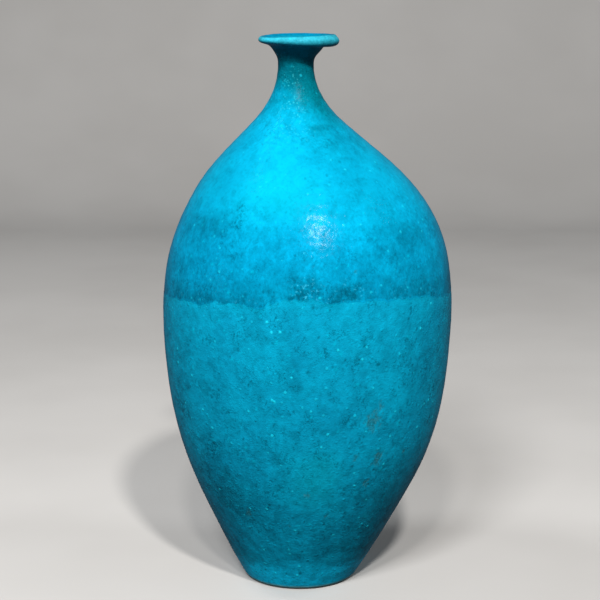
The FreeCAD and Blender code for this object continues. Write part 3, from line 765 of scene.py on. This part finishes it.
def glaze_material(name, lower, neck=False):
    k = Nodes(name)
    up, patch, worn, band = k.attr("up"), k.attr("patch"), k.attr("worn"), k.attr("band")
    pit, bead, ledge = k.attr("pit"), k.attr("bead"), k.attr("ledge")
    z = k.height_z()
    cloud = k.noise(38, 4, 0.6, 0.8, seed=1.0)
    blotch = k.noise(13, 4, 0.6, 0.9, seed=1.7)
    mottle = k.noise(6.0, 5, 0.66, 0.6, seed=2.0)
    fine = k.noise(2.0, 4, 0.7, seed=3.0)
    grain = k.noise(1.0 if lower else 1.4, 2, 0.6, seed=4.0)

    def dim(colour, amount):
        """colour darkened by the share amount, a little more in green than in blue."""
        v = k.math("SUBTRACT", 1.0, amount, True)
        return k.mix(1.0, colour, k.grey(v, tint=(1.0, 0.99, 1.0)), "MULTIPLY")

    def tone(colour, change):
        """colour made lighter (above 0) or darker (below 0) by the share change."""
        return k.mix(1.0, colour, k.grey(k.math("ADD", 1.0, change)), "MULTIPLY")

    if lower:
        colour = k.mix(k.ramp(cloud, 0.30, 0.70), LOWER_DEEP, LOWER_PALE)
        colour = dim(colour, k.ramp(blotch, 0.40, 0.70, 0.0, 0.24))
        colour = dim(colour, k.ramp(mottle, 0.42, 0.70, 0.0, 0.14))
        # painted shade: the shade mask darkens the colour here
        colour = dim(colour, k.math("MULTIPLY", k.attr("shade"), k.ramp(blotch, 0.30, 0.70, 0.7, 1.3)))
        # its top edge takes on the dark of the patches above it, softly
        crust = k.math("MULTIPLY", k.ramp(fine, 0.34, 0.62, 0.35, 1.0), patch)
        colour = dim(colour, k.math("MULTIPLY", crust, 0.45))
        colour = dim(colour, k.math("MULTIPLY", k.math("MULTIPLY", band, k.ramp(mottle, 0.35, 0.65)), 0.22))
    else:
        colour = k.mix(k.ramp(cloud, 0.30, 0.70), UPPER_DEEP, UPPER_PALE)
        colour = dim(colour, k.ramp(mottle, 0.44, 0.68, 0.0, 0.16))
        colour = dim(colour, k.ramp(blotch, 0.46, 0.68, 0.0, 0.10))
        # tealer on the neck, where the glaze ran thin
        colour = k.mix(k.attr("teal"), colour, NECK)
        # painted shade: the top of the neck is darkened under the lip
        colour = dim(colour, k.ramp(z, 0.374, 0.394, 0.0, 0.30))
        colour = k.mix(k.math("MULTIPLY", k.attr("rim"), k.ramp(fine, 0.30, 0.62, 0.55, 1.0)), colour, (0.036, 0.50, 0.59))
        # painted shade: the dish inside the lip, within the mouth, is painted darker
        colour = k.mix(k.attr("dish"), colour, (0.000, 0.190, 0.300))
        # a broad darker belt above the line, where the two coats overlap
        edge = k.math("ADD", z, k.math("MULTIPLY", k.math("SUBTRACT", blotch, 0.5), 0.030))
        belt = k.math("MULTIPLY", k.ramp(edge, 0.294, 0.279), k.attr("belt"))
        colour = dim(colour, k.math("MULTIPLY", belt, k.ramp(mottle, 0.30, 0.70, 0.75, 1.25)))
        colour = k.mix(k.math("MULTIPLY", belt, 0.45), colour, (0.000, 0.215, 0.415))
        colour = k.mix(k.ramp(edge, 0.312, 0.276, 0.0, 0.24), colour, (0.000, 0.335, 0.600))
        # painted shade: the shade mask darkens the colour here
        colour = dim(colour, k.math("MULTIPLY", k.attr("shade"), k.ramp(blotch, 0.30, 0.70, 0.7, 1.3)))
        # run marks and rough dark patches on the line itself
        streak = k.noise(3.4, 4, 0.62, 0.5, stretch=(1.0, 1.0, 0.62), seed=5.0)
        dark = k.math("MULTIPLY", k.ramp(streak, 0.36, 0.62, 0.45, 1.0), band)
        colour = dim(colour, k.math("MULTIPLY", dark, 0.32))
        crust = k.math("MULTIPLY", k.ramp(k.math("ADD", k.math("MULTIPLY", fine, 0.55), k.math("MULTIPLY", streak, 0.45)), 0.34, 0.60, 0.30, 1.0), patch)
        colour = dim(colour, k.math("MULTIPLY", crust, 0.50))
        pale = k.math("MULTIPLY", k.ramp(k.noise(2.1, 2, 0.5, seed=6.0), 0.58, 0.69), patch)
        colour = k.mix(k.math("MULTIPLY", pale, 0.52), colour, (0.035, 0.48, 0.66))
        # short strokes in the thinner glaze low on this coat and up the neck
        wander = k.math("ADD", z, k.math("MULTIPLY", k.math("SUBTRACT", k.noise(30, 2, 0.5, seed=12.2), 0.5), 0.060))
        thin = k.math("MAXIMUM", k.ramp(wander, 0.330, 0.268), k.ramp(wander, 0.328, 0.360))
        stroke = k.noise(1.9, 3, 0.66, 0.4, stretch=(1.0, 1.0, 0.60), seed=12.0)
        colour = tone(colour, k.math("MULTIPLY", k.ramp(stroke, 0.40, 0.64, 0.06, -0.10), thin))
        colour = tone(colour, k.math("MULTIPLY", k.ramp(k.noise(6.5, 3, 0.6, 0.9, stretch=(1.0, 1.0, 0.70), seed=12.5), 0.36, 0.64, 0.07, -0.09), thin))
        colour = tone(colour, k.math("MULTIPLY", k.ramp(k.noise(15, 3, 0.5, 0.9, stretch=(1.0, 1.0, 0.80), seed=12.6), 0.34, 0.66, 0.11, -0.11), thin))
    if lower:
        colour = tone(colour, k.math("MULTIPLY", k.ramp(z, 0.175, 0.105, 0.3, 1.0), k.ramp(k.noise(6.0, 3, 0.55, 1.0, seed=12.7), 0.38, 0.64, 0.16, -0.09)))
    # painted light: the brightest lit zone of the shoulder, and a lit zone low on the front, painted paler
    colour = k.mix(k.math("MULTIPLY", k.attr("glow"), 0.34, True), colour, (0.001, 0.52, 0.575) if not lower else (0.002, 0.47, 0.53))
    # thin broken dark curls where the coat crawled
    curl_at = k.math("ABSOLUTE", k.math("SUBTRACT", k.noise(6.5, 2, 0.5, 1.6, seed=11.0), 0.5))
    curl = k.math("MULTIPLY", k.ramp(curl_at, 0.052, 0.006), k.math("MAXIMUM", k.ramp(k.noise(15, 3, 0.6, 0.6, seed=11.4), 0.48, 0.62, 0.0 if lower else 0.1, 1.0), k.math("MULTIPLY", k.attr("soot"), 1.3, True)))
    curl = k.math("MULTIPLY", curl, k.ramp(fine, 0.36, 0.56))
    if lower:
        colour = dim(colour, k.math("MULTIPLY", curl, 0.42))
    else:
        colour = dim(colour, k.math("MULTIPLY", k.math("MULTIPLY", curl, k.ramp(thin, 0.0, 1.0, 0.25, 1.0)), 0.29))
    if not lower:
        # painted highlight: tiny pale beads along the glinting streak down the neck
        tiny = k.cells(1.7)
        spot = k.math("MULTIPLY", k.ramp(tiny.outputs["Distance"], 0.50, 0.22), k.ramp(k.math("FRACT", k.math("MULTIPLY", tiny.outputs["Color"], 9.13)), 0.30, 0.80))
        colour = k.mix(k.math("MULTIPLY", k.math("MULTIPLY", spot, k.attr("beady")), 0.40), colour, (0.035, 0.62, 0.68))
    # fine tone: every millimetre lighter and darker
    colour = dim(colour, k.ramp(fine, 0.46, 0.74, 0.0, 0.13 if lower else 0.14))
    light = k.ramp(k.noise(2.4, 3, 0.62, seed=7.0), 0.58, 0.76, 0.0, 0.24 if lower else 0.22)
    colour = k.mix(light, colour, (0.000, 0.44, 0.62))
    # dark flecks, sooty smudges and small bright drops
    fleck = k.math("MULTIPLY", k.ramp(k.noise(2.8, 3, 0.72, 0.5, seed=8.0), 0.64, 0.71, 0.0, 0.62 if lower else 0.36), k.ramp(k.noise(24, 3, 0.6, seed=8.3), 0.44, 0.62, 0.25, 1.0))
    colour = dim(colour, fleck)
    smudge = k.math("MULTIPLY", k.ramp(k.noise(17, 3, 0.6, 1.0, seed=8.6), 0.58, 0.72), k.ramp(k.noise(1.9, 3, 0.7, seed=8.9), 0.44, 0.62))
    colour = dim(colour, k.math("MULTIPLY", smudge, 0.30 if lower else 0.22))
    soot = k.math("MULTIPLY", k.attr("soot"), k.ramp(k.noise(2.4, 3, 0.7, seed=8.7), 0.46, 0.62))
    colour = dim(colour, k.math("MULTIPLY", soot, 0.55))
    drop = k.cells(7.5)
    chance = k.ramp(k.math("FRACT", k.math("MULTIPLY", drop.outputs["Color"], 7.31)), 0.42, 0.95, 0.0, 1.0)
    small = k.ramp(k.math("ADD", drop.outputs["Distance"], k.math("MULTIPLY", k.math("SUBTRACT", fine, 0.5), 0.30)), 0.20, 0.07)
    colour = k.mix(k.math("MULTIPLY", k.math("MULTIPLY", small, chance), 0.90 if lower else 0.40), colour, (0.010, 0.62, 0.80))
    colour = dim(colour, k.math("MULTIPLY", pit, 0.60 if lower else 0.30))
    colour = k.mix(k.math("MULTIPLY", bead, 0.42), colour, (0.000, 0.52, 0.70))
    if lower:
        # painted light: the top of the lower coat's ledge is lightened in patches, where it catches the light
        colour = k.mix(k.math("MULTIPLY", ledge, k.ramp(blotch, 0.38, 0.62, 0.0, 0.30), True), colour, (0.000, 0.40, 0.57))
        # painted light: the glaze above the foot is brightened up to twofold, standing in for light reaching the
        # underside
        foot = k.attr("foot")
        colour = k.mix(1.0, colour, k.grey(k.math("ADD", 1.0, k.math("MULTIPLY", foot, 1.0))), "MULTIPLY")
        # a pale bottom edge of the glaze, made brighter still to offset the shade where the foot turns under: partly
        # painted light
        hem = k.ramp(z, 0.0042, 0.0020)
        colour = k.mix(k.math("MULTIPLY", hem, k.ramp(mottle, 0.30, 0.60, 0.55, 1.0)), colour, (0.26, 0.74, 0.76))
    brown = k.mix(k.ramp(grain, 0.42, 0.60), (0.006, 0.115, 0.140), (0.047, 0.190, 0.205))
    colour = k.mix(k.math("MULTIPLY", worn, k.ramp(fine, 0.36, 0.62, 0.15, 0.75)), colour, brown)
    k.put(k.bsdf.inputs["Base Color"], colour)
    shine = k.math("ADD", k.ramp(mottle, 0.3, 0.7, 0.14, 0.19), k.ramp(fine, 0.3, 0.7, -0.04, 0.06))
    shine = k.math("ADD", shine, k.math("MULTIPLY", worn, 0.2), True)
    if neck:
        # more satin where it ran thin
        shine = k.math("ADD", shine, k.ramp(z, 0.355, 0.374, 0.0, 0.13), True)
    k.put(k.bsdf.inputs["Roughness"], shine)
    k.bsdf.inputs["Specular IOR Level"].default_value = 0.040
    h = k.math("ADD", k.math("MULTIPLY", fine, 0.55 if lower else 0.35), k.math("MULTIPLY", grain, 0.70 if lower else 0.55))
    h = k.math("ADD", h, k.math("MULTIPLY", k.noise(4.2, 2, 0.5, seed=9.0), 0.4 if lower else 0.2))
    lump = k.cells(3.1)
    rise = k.math("MULTIPLY", k.ramp(lump.outputs["Distance"], 0.42, 0.05), k.math("FRACT", k.math("MULTIPLY", lump.outputs["Color"], 5.17)))
    h = k.math("ADD", h, k.math("MULTIPLY", rise, 0.45 if lower else 0.2))
    h = k.math("ADD", h, k.math("MULTIPLY", small, 0.5))
    if not lower:
        h = k.math("ADD", h, k.math("MULTIPLY", k.math("MULTIPLY", k.noise(1.6, 2, 0.6, stretch=(1, 1, 0.7), seed=10.0), patch), 0.9))
    if neck:
        beads = k.cells(1.7)
        h = k.math("ADD", h, k.math("MULTIPLY", k.ramp(beads.outputs["Distance"], 0.46, 0.08), k.ramp(z, 0.356, 0.372, 0.0, 0.75)))
    k.put(k.bsdf.inputs["Normal"], k.bump(h, 0.37 if lower else 0.19, 1.0))
    return k.mat


def liner_material(name):
    k = Nodes(name)
    cloud = k.noise(18, 4, 0.6, 0.5, seed=1.5)
    fine = k.noise(2.2, 3, 0.6, seed=2.5)
    z = k.height_z()
    colour = k.mix(k.ramp(cloud, 0.35, 0.65), (0.000, 0.18, 0.28), (0.000, 0.22, 0.34))
    # painted shade: darker deeper down the throat
    colour = k.mix(k.ramp(z, 0.41, 0.37, 0.0, 0.8), colour, (0.005, 0.11, 0.14))
    colour = k.mix(k.ramp(fine, 0.4, 0.7, 0.0, 0.4), colour, (0.000, 0.12, 0.17))
    k.put(k.bsdf.inputs["Base Color"], colour)
    k.put(k.bsdf.inputs["Roughness"], k.ramp(cloud, 0.3, 0.7, 0.42, 0.58))
    k.bsdf.inputs["Specular IOR Level"].default_value = 0.2
    k.put(k.bsdf.inputs["Normal"], k.bump(k.math("ADD", fine, k.noise(0.9, 2, seed=3.5)), 0.25, 0.8))
    return k.mat


def clay_material(name, base, dark, turned=False):
    k = Nodes(name)
    cloud = k.noise(16, 4, 0.6, seed=1.2)
    grit = k.noise(1.3, 4, 0.7, seed=2.2)
    speck = k.ramp(k.noise(1.1, 2, 0.5, seed=3.2), 0.66, 0.72)
    colour = k.mix(k.ramp(cloud, 0.35, 0.65), base, dark)
    colour = k.mix(k.ramp(grit, 0.35, 0.7, 0.0, 0.5), colour, tuple(0.6 * v for v in dark))
    colour = k.mix(k.math("MULTIPLY", speck, 0.7), colour, (0.10, 0.06, 0.04))
    h = k.math("ADD", grit, k.math("MULTIPLY", k.noise(5, 2, seed=4.2), 0.7))
    if turned:
        turn = k.attr("turn")
        # painted shade: darker in the troughs of the turning grooves
        colour = k.mix(k.ramp(turn, 0.3, -0.9, 0.0, 0.35), colour, tuple(0.5 * v for v in dark))
        colour = k.mix(k.math("MULTIPLY", k.attr("chip"), 0.5), colour, tuple(1.2 * v for v in base))
    k.put(k.bsdf.inputs["Base Color"], colour)
    k.put(k.bsdf.inputs["Roughness"], k.ramp(grit, 0.3, 0.7, 0.78, 0.95))
    k.bsdf.inputs["Specular IOR Level"].default_value = 0.25
    k.put(k.bsdf.inputs["Normal"], k.bump(h, 0.3, 0.9))
    return k.mat


LOWER_DEEP, LOWER_PALE = (0.002, 0.312, 0.455), (0.002, 0.396, 0.552)
UPPER_DEEP, UPPER_PALE = (0.001, 0.362, 0.520), (0.001, 0.440, 0.605)
NECK = (0.000, 0.186, 0.222)
glaze_low = glaze_material("turquoise_lower_coat", True)
glaze_high = glaze_material("turquoise_upper_coat", False)
glaze_neck = glaze_material("turquoise_neck_coat", False, True)
lining_mat = liner_material("liner_coat")
clay = clay_material("bare_clay", (0.47, 0.39, 0.32), (0.34, 0.27, 0.21))
foot_clay = clay_material("turned_foot_clay", (0.47, 0.39, 0.32), (0.34, 0.27, 0.21), True)
slip = clay_material("joining_slip", (0.40, 0.33, 0.27), (0.27, 0.21, 0.17))


def dress(ob, mat):
    ob.data.materials.clear()
    ob.data.materials.append(mat)


for ob, mat in ((lower, glaze_low), (upper, glaze_high), (neck, glaze_neck), (liner, lining_mat), (clay_base, foot_clay)):
    dress(ob, mat)
for node, mat in (
    ("base_section", clay), ("shoulder_section", clay), ("neck_section", clay),
    ("waist_slip_joint", slip), ("neck_slip_joint", slip),
    ("lower_glaze", glaze_low), ("upper_glaze", glaze_high), ("inner_glaze", lining_mat),
):
    dress(frame["nodes"][node], mat)

for ob in (lower, upper, neck, liner, clay_base):
    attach(ob, "root")
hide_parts("lower_glaze")
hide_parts("upper_glaze")
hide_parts("upper_glaze")
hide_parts("inner_glaze")
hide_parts("base_section")


# --------------------------------------------------------------------- stage
def backdrop():
    """A pale floor that curves up into a wall behind the vase."""
    side, front, back, up, rad = 4.0, -3.0, 1.6, 3.0, 0.7
    prof = [(front, 0.0)]
    prof += [(y, 0.0) for y in np.linspace(front, back, 6)[1:]]
    prof += [(back + rad * math.sin(a), rad * (1 - math.cos(a))) for a in np.linspace(0, math.pi / 2, 24)[1:]]
    prof += [(back + rad, up)]
    verts, faces = [], []
    for y, z in prof:
        verts += [(-side, y, z), (side, y, z)]
    for i in range(len(prof) - 1):
        faces.append((2 * i, 2 * i + 1, 2 * i + 3, 2 * i + 2))
    me = bpy.data.meshes.new("floor")
    me.from_pydata(verts, [], faces)
    for p in me.polygons:
        p.use_smooth = True
    ob = bpy.data.objects.new("floor", me)
    bpy.context.scene.collection.objects.link(ob)
    return ob


floor = backdrop()
k = Nodes("pale_floor")
k.put(k.bsdf.inputs["Base Color"], k.mix(k.ramp(k.noise(300, 3), 0.3, 0.7), (0.52, 0.50, 0.48), (0.56, 0.54, 0.52)))
k.bsdf.inputs["Roughness"].default_value = 0.85
k.bsdf.inputs["Specular IOR Level"].default_value = 0.2
dress(floor, k.mat)
floor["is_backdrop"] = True
floor.visible_diffuse = False
floor.visible_glossy = False

scene = bpy.context.scene
world = bpy.data.worlds.new("studio")
scene.world = world
world.use_nodes = True
world.node_tree.nodes["Background"].inputs[0].default_value = (0.86, 0.93, 1.0, 1)
world.node_tree.nodes["Background"].inputs[1].default_value = 0.07


def lamp(name, az, el, dist, size, power, colour, target=(0, 0, 0.25), glossy=True):
    """An area light on a sphere round the vase: az from the front, positive towards +X."""
    a, e = math.radians(az), math.radians(el)
    data = bpy.data.lights.new(name, "AREA")
    data.shape, data.size = "DISK", size
    data.energy, data.color = power, colour
    ob = bpy.data.objects.new(name, data)
    at = Vector(target)
    ob.location = at + Vector((math.sin(a) * math.cos(e), -math.cos(a) * math.cos(e), math.sin(e))) * dist
    ob.rotation_euler = (at - ob.location).to_track_quat("-Z", "Y").to_euler()
    ob.visible_glossy = glossy
    scene.collection.objects.link(ob)
    return ob


lamp("key", 11.8, 44.5, 2.6, 0.18, 50, (1.0, 0.985, 0.96))
lamp("key_fill", -3.0, 43.0, 2.6, 0.2, 18.5, (1.0, 0.985, 0.96), glossy=False)
lamp("soft_front", -16, 40, 2.4, 0.5, 36, (0.97, 0.985, 1.0), glossy=False)
lamp("left", -92, 58, 2.2, 0.6, 16.5, (0.95, 0.98, 1.0), glossy=False)
lamp("left_low", -76, 6, 2.0, 0.5, 1.4, (0.86, 0.94, 1.0), glossy=False)
lamp("right", 90, 42, 2.2, 0.6, 8.4, (0.95, 0.98, 1.0), glossy=False)

# a low card in front that only reaches the lower wall
low_data = bpy.data.lights.new("low_card", "SPOT")
low_data.energy, low_data.color = 6.0, (1.0, 0.99, 0.97)
low_data.spot_size, low_data.spot_blend = math.radians(17), 1.0
low_data.shadow_soft_size = 0.15
low = bpy.data.objects.new("low_card", low_data)
low.location = (0.05, -1.15, 0.10)
low.rotation_euler = (Vector((0, 0, 0.035)) - low.location).to_track_quat("-Z", "Y").to_euler()
low.visible_glossy = False
scene.collection.objects.link(low)

cam_data = bpy.data.cameras.new("photo_view")
cam_data.sensor_width = 36.0
cam_data.lens = 100.97
cam_data.clip_start = 0.05
cam = bpy.data.objects.new("photo_view", cam_data)
cam.location = (-0.0001, -1.260, 0.4862)
cam.rotation_euler = (math.radians(90 - 12.015), 0, 0)
scene.collection.objects.link(cam)
scene.camera = cam

scene.view_settings.view_transform = "Standard"
scene.view_settings.look = "None"
scene.view_settings.exposure = 0.0

{"before": bounds_before, "after": plain(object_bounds())}
